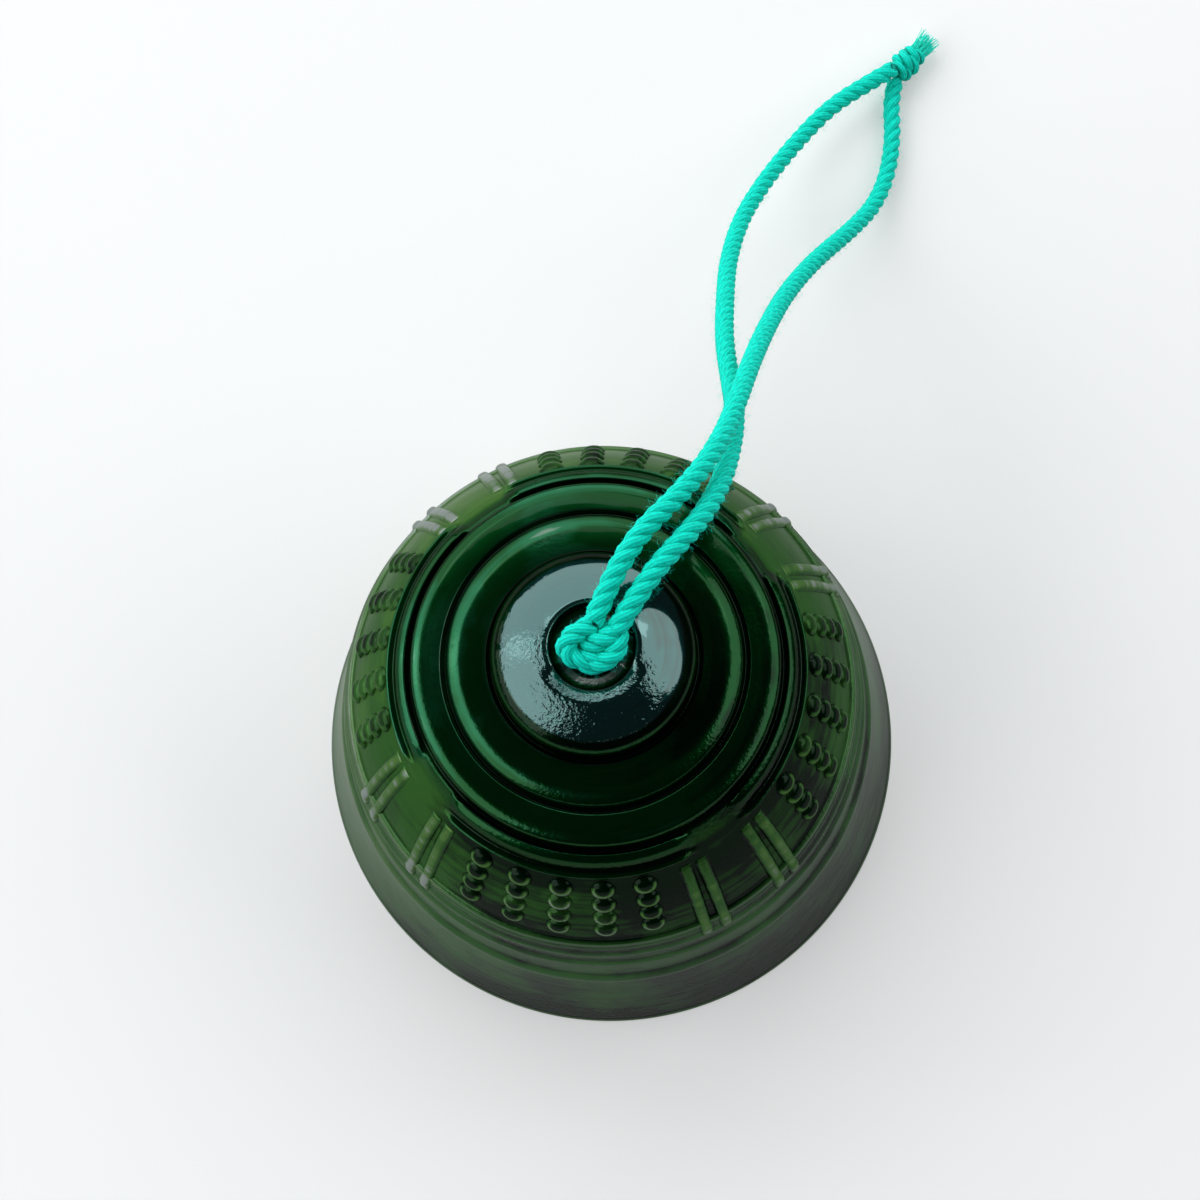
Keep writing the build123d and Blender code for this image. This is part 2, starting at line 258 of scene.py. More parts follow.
def new_piece(name, points, faces, material):
    """A mesh object of this part, in the scene."""
    mesh = bpy.data.meshes.new(name)
    mesh.from_pydata(points, [], faces)
    mesh.update()
    mesh.polygons.foreach_set("use_smooth", [True] * len(mesh.polygons))
    mesh.materials.append(material)
    piece = bpy.data.objects.new(name, mesh)
    scene.collection.objects.link(piece)
    return piece


def set_node(tree, kind, inputs=None, **settings):
    """Adds a shader node, with its settings and its unlinked input values."""
    node = tree.nodes.new(kind)
    for key, value in settings.items():
        setattr(node, key, value)
    for key, value in (inputs or {}).items():
        node.inputs[key].default_value = value
    return node


def casting_skin():
    """Shader group for the skin of a lacquered sand casting: pits, ripples, patches and turned streaks."""
    group = bpy.data.node_groups.new("casting skin", "ShaderNodeTree")
    sockets = group.interface
    sockets.new_socket("Pit Size", in_out="INPUT", socket_type="NodeSocketFloat").default_value = 2600
    sockets.new_socket("Ripple Size", in_out="INPUT", socket_type="NodeSocketFloat").default_value = 260
    sockets.new_socket("Pit Depth", in_out="INPUT", socket_type="NodeSocketFloat").default_value = 1.8
    sockets.new_socket("Height", in_out="OUTPUT", socket_type="NodeSocketFloat")
    sockets.new_socket("Patches", in_out="OUTPUT", socket_type="NodeSocketFloat")
    sockets.new_socket("Streaks", in_out="OUTPUT", socket_type="NodeSocketFloat")
    given = set_node(group, "NodeGroupInput")
    result = set_node(group, "NodeGroupOutput")
    place = set_node(group, "ShaderNodeTexCoord")
    pits = set_node(group, "ShaderNodeTexNoise", {"Detail": 2.0, "Roughness": 0.55})
    ripples = set_node(group, "ShaderNodeTexNoise", {"Detail": 1.0, "Roughness": 0.4})
    patches = set_node(group, "ShaderNodeTexNoise", {"Scale": 95.0, "Detail": 3.0, "Roughness": 0.6})
    poured_side = set_node(group, "ShaderNodeVectorMath", {1: (8, -12, 0)}, operation="DOT_PRODUCT")
    rough_side = set_node(group, "ShaderNodeMath", operation="ADD")
    mask = set_node(group, "ShaderNodeMapRange", {"From Min": 0.42, "From Max": 0.62})
    rough_pits = set_node(group, "ShaderNodeMath", operation="MULTIPLY")
    total = set_node(group, "ShaderNodeMath", operation="MULTIPLY_ADD")
    flat = set_node(group, "ShaderNodeVectorMath", {1: (1, 1, 0)}, operation="MULTIPLY")
    from_axis = set_node(group, "ShaderNodeVectorMath", operation="LENGTH")
    parts = set_node(group, "ShaderNodeSeparateXYZ")
    wander = set_node(group, "ShaderNodeMath", {1: 0.004}, operation="MULTIPLY")
    turned_place = set_node(group, "ShaderNodeCombineXYZ")
    streaks = set_node(group, "ShaderNodeTexNoise", {"Scale": 1100.0, "Detail": 2.0, "Roughness": 0.6})
    link = group.links.new
    for texture in (pits, ripples, patches):
        link(place.outputs["Object"], texture.inputs["Vector"])
    link(given.outputs["Pit Size"], pits.inputs["Scale"])
    link(given.outputs["Ripple Size"], ripples.inputs["Scale"])
    link(place.outputs["Object"], poured_side.inputs[0])
    link(poured_side.outputs["Value"], rough_side.inputs[0])
    link(patches.outputs["Fac"], rough_side.inputs[1])
    link(rough_side.outputs[0], mask.inputs["Value"])
    link(pits.outputs["Fac"], rough_pits.inputs[0])
    link(mask.outputs["Result"], rough_pits.inputs[1])
    link(rough_pits.outputs[0], total.inputs[0])
    link(given.outputs["Pit Depth"], total.inputs[1])
    link(place.outputs["Object"], flat.inputs[0])
    link(flat.outputs["Vector"], from_axis.inputs[0])
    link(place.outputs["Object"], parts.inputs[0])
    link(patches.outputs["Fac"], wander.inputs[0])
    link(from_axis.outputs["Value"], turned_place.inputs["X"])
    link(parts.outputs["Z"], turned_place.inputs["Y"])
    link(wander.outputs[0], turned_place.inputs["Z"])
    link(turned_place.outputs[0], streaks.inputs["Vector"])
    link(streaks.outputs["Fac"], result.inputs["Streaks"])
    link(ripples.outputs["Fac"], total.inputs[2])
    link(total.outputs[0], result.inputs["Height"])
    link(patches.outputs["Fac"], result.inputs["Patches"])
    return group


def colour_steps(tree, steps):
    """A colour ramp node with these (place, colour) steps."""
    ramp = set_node(tree, "ShaderNodeValToRGB")
    for place, _ in steps[1:-1]:
        ramp.color_ramp.elements.new(place)
    for element, (place, colour) in zip(ramp.color_ramp.elements, steps):
        element.position = place
        element.color = (*colour, 1)
    return ramp


def grey_steps(tree, steps):
    """A ramp node that gives plain values, with these (place, value) steps."""
    return colour_steps(tree, [(place, (value, value, value)) for place, value in steps])


# Where on the bell a point is, as its paint attribute says. The lacquer has its own shade and gloss on
# each of these four.
on_knob, on_rings, on_walls, on_skirt = 0.0, 0.33, 0.66, 1.0


def lacquer_material():
    """Clear green lacquer over iron: black where it pools and in painted shade, olive on the walls, lighter
    in painted light, grey where it is scuffed away and in painted highlights.
    """
    material = bpy.data.materials.new("green_lacquer")
    material.use_nodes = True
    tree = material.node_tree
    shader = tree.nodes["Principled BSDF"]
    skin = set_node(tree, "ShaderNodeGroup", node_tree=casting_skin())
    relief_and_painted_light = set_node(tree, "ShaderNodeAttribute", attribute_name="relief_and_painted_light")
    paint = set_node(tree, "ShaderNodeAttribute", attribute_name="paint")
    ground = colour_steps(tree, [
        (on_knob, (0.0005, 0.052, 0.048)),
        (on_rings, (0.001, 0.035, 0.006)),
        (on_walls, (0.024, 0.085, 0.014)),
        (on_skirt, (0.022, 0.08, 0.018)),
    ])
    edges = colour_steps(tree, [
        (on_knob, (0.003, 0.1, 0.08)),
        (on_rings, (0.006, 0.075, 0.03)),
        (on_walls, (0.055, 0.14, 0.022)),
        (on_skirt, (0.06, 0.12, 0.045)),
    ])
    drift = set_node(tree, "ShaderNodeMath", {1: 0.9}, operation="MULTIPLY_ADD")
    streaked = set_node(tree, "ShaderNodeMath", {1: 0.36}, operation="MULTIPLY_ADD")
    level = set_node(tree, "ShaderNodeMath", {1: 0.61}, operation="SUBTRACT")
    pit_depth = set_node(tree, "ShaderNodeMapRange", {"From Max": 0.3, "To Min": 1.8, "To Max": 0.6})
    pool_and_shade_mask = set_node(tree, "ShaderNodeMapRange", {"From Min": 0.25, "From Max": 0.48})
    lift_and_light_mask = set_node(tree, "ShaderNodeMapRange", {"From Min": 0.62, "From Max": 0.85})
    rub_and_highlight_mask = set_node(tree, "ShaderNodeMapRange", {"From Min": 0.92, "From Max": 1.2})
    pool_and_shade_mix = set_node(tree, "ShaderNodeMix", data_type="RGBA")
    pool_and_shade_mix.inputs["A"].default_value = (0.0008, 0.008, 0.0025, 1)
    raised = set_node(tree, "ShaderNodeMix", data_type="RGBA")
    bare_and_highlight_mix = set_node(tree, "ShaderNodeMix", data_type="RGBA")
    bare_and_highlight_mix.inputs["B"].default_value = (0.2, 0.23, 0.21, 1)
    bump = set_node(tree, "ShaderNodeBump", {"Strength": 0.9, "Distance": 0.06 * mm})
    base_gloss = set_node(tree, "ShaderNodeMapRange", {"From Max": 0.5, "To Min": 0.06, "To Max": 0.24})
    metal = grey_steps(tree, [(on_knob, 0.9), (on_rings, 0.9), (on_walls, 0.5), (on_skirt, 0.5)])
    gloss = set_node(tree, "ShaderNodeMath", {1: 0.1}, operation="MULTIPLY_ADD")
    coat = grey_steps(tree, [(on_knob, 0.8), (on_rings, 0.11), (on_walls, 0.05), (on_skirt, 0.13)])
    link = tree.links.new
    link(skin.outputs["Patches"], drift.inputs[0])
    link(relief_and_painted_light.outputs["Fac"], drift.inputs[2])
    link(skin.outputs["Streaks"], streaked.inputs[0])
    link(drift.outputs[0], streaked.inputs[2])
    link(streaked.outputs[0], level.inputs[0])
    link(paint.outputs["Fac"], pit_depth.inputs["Value"])
    link(pit_depth.outputs["Result"], skin.inputs["Pit Depth"])
    # Low levels give the near-black of lacquer that pools and of painted shade; high ones give the lighter
    # edge colour and iron grey, which also serve as painted light and painted highlights.
    for step, mix in ((pool_and_shade_mask, pool_and_shade_mix), (lift_and_light_mask, raised), (rub_and_highlight_mask, bare_and_highlight_mix)):
        link(level.outputs[0], step.inputs["Value"])
        link(step.outputs["Result"], mix.inputs["Factor"])
    link(paint.outputs["Fac"], ground.inputs["Fac"])
    link(paint.outputs["Fac"], edges.inputs["Fac"])
    link(ground.outputs["Color"], pool_and_shade_mix.inputs["B"])
    link(pool_and_shade_mix.outputs["Result"], raised.inputs["A"])
    link(edges.outputs["Color"], raised.inputs["B"])
    link(raised.outputs["Result"], bare_and_highlight_mix.inputs["A"])
    link(bare_and_highlight_mix.outputs["Result"], shader.inputs["Base Color"])
    link(skin.outputs["Height"], bump.inputs["Height"])
    link(bump.outputs["Normal"], shader.inputs["Normal"])
    link(bump.outputs["Normal"], shader.inputs["Coat Normal"])
    link(paint.outputs["Fac"], base_gloss.inputs["Value"])
    link(skin.outputs["Patches"], gloss.inputs[0])
    link(base_gloss.outputs[0], gloss.inputs[2])
    link(gloss.outputs[0], shader.inputs["Roughness"])
    link(paint.outputs["Fac"], coat.inputs["Fac"])
    link(coat.outputs["Color"], shader.inputs["Coat Weight"])
    link(paint.outputs["Fac"], metal.inputs["Fac"])
    link(metal.outputs["Color"], shader.inputs["Metallic"])
    shader.inputs["IOR"].default_value = 1.07
    shader.inputs["Specular Tint"].default_value = (0.35, 0.4, 0.35, 1)
    shader.inputs["Coat IOR"].default_value = 1.7
    shader.inputs["Coat Roughness"].default_value = 0.04
    return material


green_lacquer = lacquer_material()
columns = column_angles()
rows = []
for profile in (crown_profile, None, panel_line[1:], sill_line[1:-1], skirt_line, inside_line[1:-1]):
    if profile is None:
        rows += [("ledge", ledge, band) for ledge, band in zip(ledge_line[1:], band_line[1:])]
    else:
        rows += [("round", point, point) for point in profile]
lip_dip = 0.75 * mm
lip_dip_width = 1.3 * mm
lip_dip_turn = radians(78)
lip_dip_start, lip_dip_blend = 0.35, 0.25
bell_points = []
for kind, on_panel, on_band in rows:
    for angle in columns:
        share = ledge_share(angle) if kind == "ledge" else 0.0
        radius, height = on_band.lerp(on_panel, share)
        place = Vector((radius * cos(angle), radius * sin(angle), height))
        if height > crown_top - 1 * mm and radius < funnel_radius + lip_dip_width:
            near = min(1.0, (funnel_radius + lip_dip_width - radius) / lip_dip_width)
            front = (cos(angle + lip_dip_turn) - lip_dip_start) / lip_dip_blend
            front = min(1.0, max(0.0, front))
            place.z -= lip_dip * near * front * front * (3 - 2 * front)
        if height > 1 * mm and radius > funnel_radius + 1 * mm:
            place += Vector((cos(angle), sin(angle), 0)) * uneven(place)
        bell_points.append(place)
bell_faces = []
for row in range(len(rows)):
    for column in range(len(columns)):
        here = row * len(columns) + column
        beside = row * len(columns) + (column + 1) % len(columns)
        under = (row + 1) % len(rows) * len(columns) + column
        diagonal = (row + 1) % len(rows) * len(columns) + (column + 1) % len(columns)
        bell_faces.append((here, under, diagonal, beside))
bell = new_piece("bell_casting", bell_points, bell_faces, green_lacquer)

# Painted shade and light, as shifts of the lacquer's level: painted shade at the knob's brow and funnel, on
# the right of the rings, on the front right of walls and skirt and towards the rim; painted light on their
# back left, and a painted highlight on the skirt's left.
knob_painted_shade, ring_painted_shade, wall_painted_shade_and_light, rim_painted_shade = 0.3, 0.24, 0.27, 0.28
rim_shade_height = 14 * mm
skirt_lift, left_painted_highlight = 0.08, 0.15
paint_blend = 1.5 * mm


def painted_shade_and_light(point, low, angle):
    """Painted shade, as a lower lacquer level, at the knob's brow and in its funnel, on the right of the
    rings, on the front right of the walls and skirt and towards the rim; painted light on their back left.
    The skirt is lighter all round, with a painted highlight on its left.
    """
    if low == on_knob:
        return 0.0
    if point.x < knob_radius + 0.1 * mm and point.y > knob_foot:
        return knob_painted_shade
    if low < 0.5:
        return ring_painted_shade * max(0.0, cos(angle + radians(10)))
    to_rim = max(0.0, 1 - point.y / rim_shade_height)
    lift_and_painted_highlight = skirt_lift + left_painted_highlight * max(0.0, cos(angle - radians(195))) if point.y < panel_foot else 0.0
    to_wall = min(1.0, max(0.0, (low - on_rings) / (on_walls - on_rings)))
    return to_wall * wall_painted_shade_and_light * cos(angle + radians(58)) + rim_painted_shade * to_rim - lift_and_painted_highlight


def relief_of(line):
    """How far each point of a closed profile stands out of its neighbourhood, as a share of look_depth."""
    shares = []
    for number, here in enumerate(line):
        total, weight = Vector((0, 0)), 0.0
        for way in (-1, 1):
            run, index = 0.0, number
            while run < look_reach:
                nearer, index = line[index % len(line)], index + way
                further = line[index % len(line)]
                length = (further - nearer).length
                run += length
                total += (nearer + further) / 2 * length
                weight += length
        before, after = line[number - 1], line[(number + 1) % len(line)]
        outward = Vector((before.y - after.y, after.x - before.x)).normalized()
        shares.append((here - total / weight).dot(outward) / look_depth)
    return shares


def lacquer_levels(piece, relief_and_painted_light, paint):
    """Gives each point of a lacquered piece its level, painted shade and light included, and its place on the
    bell; both pick the lacquer's colour.
    """
    for name, values in (("relief_and_painted_light", relief_and_painted_light), ("paint", paint)):
        piece.data.attributes.new(name, "FLOAT", "POINT").data.foreach_set("value", values)


look_reach = 0.9 * mm
look_depth = 1.0 * mm
panel_relief = relief_of([on_panel for _, on_panel, _ in rows])
band_relief = relief_of([on_band for _, _, on_band in rows])
relief_and_light_levels, paint_levels = [], []
for (_, on_panel, on_band), on_ledge, between in zip(rows, panel_relief, band_relief):
    for angle in columns:
        share = ledge_share(angle)
        point = on_band.lerp(on_panel, share)
        wall_start = ring_2_foot - groove + (shoulder_foot - ring_2_foot + groove) * share
        under_ledges = min(1.0, max(0.0, (wall_start - point.y) / paint_blend))
        low = on_rings + (on_walls - on_rings) * under_ledges
        if point.y < panel_foot:
            low = on_skirt
        if point.y > knob_foot and funnel_radius < point.x < knob_radius - 1.1 * mm:
            low = on_knob
        # The level is how far the point stands out, with the painted shade and light taken in.
        relief_and_light_levels.append(0.5 - painted_shade_and_light(point, low, angle) + on_ledge * share + between * (1 - share))
        paint_levels.append(low)
lacquer_levels(bell, relief_and_light_levels, paint_levels)
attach(bell, "bell")
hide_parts("bell_body")

# The small round bosses of the four panels, five columns of four on each, which a temple bell has in the
# same places. They are cast in one with the wall, each a low dome with a soft foot.
boss_radius = 1.1 * mm
boss_height = 0.6 * mm
boss_columns = [radians(angle) for angle in (-22, -11, 0, 11, 22)]
boss_top_inset = 2.8 * mm
boss_row_step = 2.2 * mm
boss_rows = 4
boss_profile = (
    (1.12, -0.12),
    (1.04, 0.12),
    (0.96, 0.34),
    (0.86, 0.54),
    (0.74, 0.7),
    (0.58, 0.83),
    (0.4, 0.93),
    (0.2, 0.98),
)
boss_sides = 24
boss_paint = 0.75
# Painted shade over each boss's upper side and a painted highlight in a light arc under it.
boss_shade_up, boss_shade_reach, boss_shade_edge = 0.45, 0.62, 0.2
boss_foot, boss_foot_edge = 1.02, 0.12
boss_shade_level, boss_highlight_level, boss_plain_level, boss_tip_level = 0.28, 0.85, 0.34, 0.42
boss_points, boss_faces, boss_light_levels = [], [], []


def wall_place(run):
    """Point of the panel's wall this far down from its top edge, and the wall's outward direction there."""
    for upper, lower in zip(wall_line, wall_line[1:]):
        length = (lower - upper).length
        if run <= length:
            along = (lower - upper) / length
            return upper + along * run, Vector((-along.y, along.x))
        run -= length
    return wall_foot, Vector((1, 0))


def boss_level(share, around, proud, angle):
    """Relief level on a boss: painted shade over its upper side and a painted highlight in a light arc under
    that, strongest on the front.
    """
    sideways, upwards = share * cos(around), share * sin(around)
    if upwards >= boss_shade_up or proud <= 0.1:
        return boss_plain_level
    off_shade = sqrt(sideways**2 + (upwards - boss_shade_up) ** 2)
    highlight_crescent = min(1.0, max(0.0, (off_shade - boss_shade_reach) / boss_shade_edge))
    highlight_crescent *= min(1.0, max(0.0, (boss_foot - share) / boss_foot_edge))
    highlight_crescent *= 0.4 + 0.6 * max(0.0, cos(angle + radians(75)))
    return boss_shade_level + boss_highlight_level * highlight_crescent


for turn in panel_turns:
    for column in boss_columns:
        for row in range(boss_rows):
            point, outwards = wall_place(boss_top_inset + row * boss_row_step)
            angle = turn + column
            round_way = Vector((-sin(angle), cos(angle), 0))
            out_way = Vector((outwards.x * cos(angle), outwards.x * sin(angle), outwards.y))
            up_way = out_way.cross(round_way)
            centre = Vector((point.x * cos(angle), point.x * sin(angle), point.y))
            first = len(boss_points)
            for share, proud in boss_profile:
                for side in range(boss_sides):
                    around = 2 * pi * side / boss_sides
                    across = round_way * cos(around) + up_way * sin(around)
                    boss_points.append(centre + across * boss_radius * share + out_way * boss_height * proud)
                    level = boss_level(share, around, proud, angle)
                    boss_light_levels.append(level - 0.3 * painted_shade_and_light(point, on_walls, angle))
            boss_points.append(centre + out_way * boss_height)
            boss_light_levels.append(boss_tip_level - 0.5 * painted_shade_and_light(point, on_walls, angle))
            for ring in range(len(boss_profile) - 1):
                for side in range(boss_sides):
                    beside = (side + 1) % boss_sides
                    lower, upper = first + ring * boss_sides, first + (ring + 1) * boss_sides
                    boss_faces.append((lower + side, upper + side, upper + beside, lower + beside))
            tip, last = len(boss_points) - 1, first + (len(boss_profile) - 1) * boss_sides
            boss_faces += [(last + side, tip, last + (side + 1) % boss_sides) for side in range(boss_sides)]
            boss_faces.append([first + side for side in range(boss_sides)])
bosses = new_piece("panel_bosses", boss_points, boss_faces, green_lacquer)
lacquer_levels(bosses, boss_light_levels, [boss_paint] * len(boss_points))
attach(bosses, "bell")

# The upright ribs at both sides of each panel, two and two. They are cast on the wall and run down over
# the step at the panel's foot to the first belt of the skirt.
rib_angles = [radians(angle) for angle in (33.2, 37.8)]
rib_half = 0.6 * mm
rib_height = 0.42 * mm
rib_section = (
    (-1.35, -0.3),
    (-1.05, 0.1),
    (-0.85, 0.6),
    (-0.5, 0.93),
    (0, 1.0),
    (0.5, 0.93),
    (0.85, 0.6),
    (1.05, 0.1),
    (1.35, -0.3),
)
# The ribs' crests turn grey, partly scuffed to the iron and partly a painted highlight that grows towards the
# foot.
rib_paint = 0.8
rib_ground_level, rib_crest_level = 0.4, 0.1
rib_wear_and_highlight, rib_highlight_to_foot, rib_crest_drift = 0.42, 0.25, 0.35
first_belt = step_foot - belts[0][0]
rib_line = evenly([*wall_line[4:], *[point for point in skirt_line if point.y > first_belt]], 0.4 * mm)
rib_points, rib_faces, rib_light_levels = [], [], []


def tube_faces(first, rings, sides):
    """Faces of a closed tube whose rings of corners start at this point, side walls first and ends last."""
    faces = []
    for ring in range(rings - 1):
        for side in range(sides):
            beside = (side + 1) % sides
            lower, upper = first + ring * sides, first + (ring + 1) * sides
            faces.append((lower + side, lower + beside, upper + beside, upper + side))
    last = first + (rings - 1) * sides
    faces.append([first + side for side in reversed(range(sides))])
    faces.append([last + side for side in range(sides)])
    return faces


for turn in panel_turns:
    for offset in (-rib_angles[1], -rib_angles[0], rib_angles[0], rib_angles[1]):
        angle = turn + offset
        round_way = Vector((-sin(angle), cos(angle), 0))
        first = len(rib_points)
        for number, point in enumerate(rib_line):
            before = rib_line[max(0, number - 1)]
            after = rib_line[min(len(rib_line) - 1, number + 1)]
            along = (after - before).normalized()
            out_way = Vector((-along.y * cos(angle), -along.y * sin(angle), along.x))
            centre = Vector((point.x * cos(angle), point.x * sin(angle), point.y))
            ends = min(1.0, 0.1 + number / 6, 0.15 + (len(rib_line) - 1 - number) / 3)
            wave = 1 + 0.12 * noise.noise(centre / (1.6 * mm))
            for across, proud in rib_section:
                lift = proud * ends * wave if proud > 0 else proud
                rib_points.append(centre + round_way * across * rib_half + out_way * rib_height * lift)
                # Wear and painted highlight on the crest, with more of the highlight towards the foot.
                lift_and_painted_highlight = rib_wear_and_highlight + rib_highlight_to_foot * number / len(rib_line)
                lift_and_painted_highlight += rib_crest_drift * noise.noise(centre / (0.8 * mm))
                level = rib_ground_level + (rib_crest_level + lift_and_painted_highlight) * max(0, proud) ** 2
                rib_light_levels.append(level - painted_shade_and_light(point, on_walls, angle))
        rib_faces += tube_faces(first, len(rib_line), len(rib_section))
ribs = new_piece("panel_ribs", rib_points, rib_faces, green_lacquer)
lacquer_levels(ribs, rib_light_levels, [rib_paint] * len(rib_points))
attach(ribs, "bell")

# The crown knot. The cord is teal cotton, three plies laid up to the right, 2 mm thick and a little hairy.
# The knot is tied in both runs of it and sits in the funnel of the crown, too thick for the hole.
cord_diameter = 2.0 * mm
lay_length = 4.3 * mm
ply_sides = 10
ply_count = 3
ply_share = 0.56
ply_offset_share = 0.47
rings_per_lay = 14


def frames_along(rings):
    """Two directions square to a line at each of its points, turned as little as they can be."""
    frames = []
    across = None
    for number in range(len(rings)):
        before = rings[max(0, number - 1)]
        after = rings[min(len(rings) - 1, number + 1)]
        along = (after - before).normalized()
        if across is None:
            across = along.orthogonal().normalized()
        across = (across - along * across.dot(along)).normalized()
        frames.append((across, along.cross(across)))
    return frames


def rope_data(line, diameter, lay, start_turn=0.0):
    """Points, faces and UVs of a rope of three plies along a line. U goes round a ply, V along it in mm."""
    step = lay / rings_per_lay
    rings = evenly(line, step)
    frames = frames_along(rings)
    radius = diameter / 2
    points, faces, spots = [], [], []
    for ply in range(ply_count):
        centres = []
        for number, (ring, (across, up)) in enumerate(zip(rings, frames)):
            turn = start_turn + 2 * pi * (number * step / lay + ply / ply_count)
            centres.append(ring + (across * cos(turn) + up * sin(turn)) * radius * ply_offset_share)
        first = len(points)
        for number, (centre, ring) in enumerate(zip(centres, rings)):
            before = centres[max(0, number - 1)]
            after = centres[min(len(centres) - 1, number + 1)]
            along = (after - before).normalized()
            outward = centre - ring
            outward = (outward - along * outward.dot(along)).normalized()
            sideways = along.cross(outward)
            for side in range(ply_sides):
                around = 2 * pi * side / ply_sides
                spread = outward * cos(around) + sideways * sin(around)
                points.append(centre + spread * radius * ply_share)
        faces += tube_faces(first, len(rings), ply_sides)
        for number in range(len(rings) - 1):
            for side in range(ply_sides):
                u, v = side / ply_sides, number * step / mm
                far_u, far_v = (side + 1) / ply_sides, (number + 1) * step / mm
                spots += [(u, v), (far_u, v), (far_u, far_v), (u, far_v)]
        spots += [(side / ply_sides, 0) for side in range(2 * ply_sides)]
    return points, faces, spots


def add_hairs(points, faces, spots, line, diameter, per_mm, seed):
    """Adds loose cotton fibres that stand out of a cord's surface in short curls."""
    draw = random.Random(seed)
    ring_gap = 0.2
    rings = evenly(line, ring_gap * mm)
    frames = frames_along(rings)
    hair_radius = 0.009 * mm
    hair_rings, hair_sides = 4, 3
    for _ in range(round(per_mm * ring_gap * len(rings))):
        number = draw.randrange(len(rings))
        across, up = frames[number]
        along = up.cross(across)
        turn = draw.uniform(0, 2 * pi)
        outward = across * cos(turn) + up * sin(turn)
        start = rings[number] + outward * diameter * 0.4
        reach = draw.uniform(0.2, 0.8) * mm
        drift = along * draw.uniform(-1, 1) + outward.cross(along) * draw.uniform(-1, 1)
        first = len(points)
        bend = draw.uniform(1.4, 2.6)
        for step in range(hair_rings):
            share = step / (hair_rings - 1)
            rise = sin(share * bend)
            centre = start + outward * reach * rise + drift * reach * share * 1.2
            centre += Vector((draw.uniform(-1, 1), draw.uniform(-1, 1), draw.uniform(-1, 1))) * 0.04 * mm
            centre.z = max(centre.z, hair_radius)
            for side in range(hair_sides):
                around = 2 * pi * side / hair_sides
                spread = along * cos(around) + outward.cross(along) * sin(around)
                points.append(centre + spread * hair_radius)
        faces += tube_faces(first, hair_rings, hair_sides)
        spots += [(0.0, 0)] * (4 * (hair_rings - 1) * hair_sides + 2 * hair_sides)


def cord_material(name, colour, yarn_shade_colour):
    """Cotton yarn: fine fibres wound round each ply, with a painted highlight on each yarn, painted shade
    between the yarns and on the inner side of each ply, where the plies meet, and a soft sheen.
    """
    yarns_round, yarns_per_mm = 9, 1.7
    material = bpy.data.materials.new(name)
    material.use_nodes = True
    tree = material.node_tree
    shader = tree.nodes["Principled BSDF"]
    spot = set_node(tree, "ShaderNodeUVMap", uv_map="yarn")
    parts = set_node(tree, "ShaderNodeSeparateXYZ")
    round_turns = set_node(tree, "ShaderNodeMath", {1: 2 * pi * yarns_round}, operation="MULTIPLY")
    along_turns = set_node(tree, "ShaderNodeMath", {1: 2 * pi * yarns_per_mm}, operation="MULTIPLY_ADD")
    wave = set_node(tree, "ShaderNodeMath", operation="SINE")
    place = set_node(tree, "ShaderNodeTexCoord")
    tufts = set_node(tree, "ShaderNodeTexNoise", {"Scale": 2600.0, "Detail": 2.0})
    waver = set_node(tree, "ShaderNodeMath", {1: 4.0}, operation="MULTIPLY_ADD")
    height = set_node(tree, "ShaderNodeMath", {1: 0.35}, operation="MULTIPLY_ADD")
    # The yarns' height also sets their colour: a painted highlight on each yarn, painted shade between them.
    mix = set_node(tree, "ShaderNodeMapRange", {"From Min": -0.1, "From Max": 1.1})
    colours = set_node(tree, "ShaderNodeMix", data_type="RGBA")
    colours.inputs["A"].default_value = (*yarn_shade_colour, 1)
    colours.inputs["B"].default_value = (*colour, 1)
    # Painted shade on the inner side of each ply, where it meets the other plies.
    inwards = set_node(tree, "ShaderNodeMath", {1: 0.5}, operation="PINGPONG")
    groove_shade = set_node(tree, "ShaderNodeMapRange", {"From Min": 0.17, "From Max": 0.28, "To Max": 0.85})
    shaded = set_node(tree, "ShaderNodeMix", data_type="RGBA")
    shaded.inputs["B"].default_value = (0, 0.1, 0.07, 1)
    bump = set_node(tree, "ShaderNodeBump", {"Strength": 0.9, "Distance": 0.05 * mm})
    link = tree.links.new
    link(spot.outputs["UV"], parts.inputs[0])
    link(parts.outputs["X"], round_turns.inputs[0])
    link(parts.outputs["Y"], along_turns.inputs[0])
    link(round_turns.outputs[0], along_turns.inputs[2])
    link(place.outputs["Object"], tufts.inputs["Vector"])
    link(tufts.outputs["Fac"], waver.inputs[0])
    link(along_turns.outputs[0], waver.inputs[2])
    link(waver.outputs[0], wave.inputs[0])
    link(wave.outputs[0], height.inputs[0])
    link(tufts.outputs["Fac"], height.inputs[2])
    link(height.outputs[0], mix.inputs["Value"])
    link(mix.outputs["Result"], colours.inputs["Factor"])
    link(parts.outputs["X"], inwards.inputs[0])
    link(inwards.outputs[0], groove_shade.inputs["Value"])
    link(groove_shade.outputs["Result"], shaded.inputs["Factor"])
    link(colours.outputs["Result"], shaded.inputs["A"])
    link(shaded.outputs["Result"], shader.inputs["Base Color"])
    link(height.outputs[0], bump.inputs["Height"])
    link(bump.outputs["Normal"], shader.inputs["Normal"])
    shader.inputs["Roughness"].default_value = 0.7
    shader.inputs["Specular IOR Level"].default_value = 0.12
    shader.inputs["Sheen Weight"].default_value = 0.08
    shader.inputs["Sheen Roughness"].default_value = 0.4
    shader.inputs["Sheen Tint"].default_value = (0.1, 1, 0.85, 1)
    return material


teal_cord = cord_material("teal_cord", (0.0, 0.82, 0.66), (0.0, 0.42, 0.31))


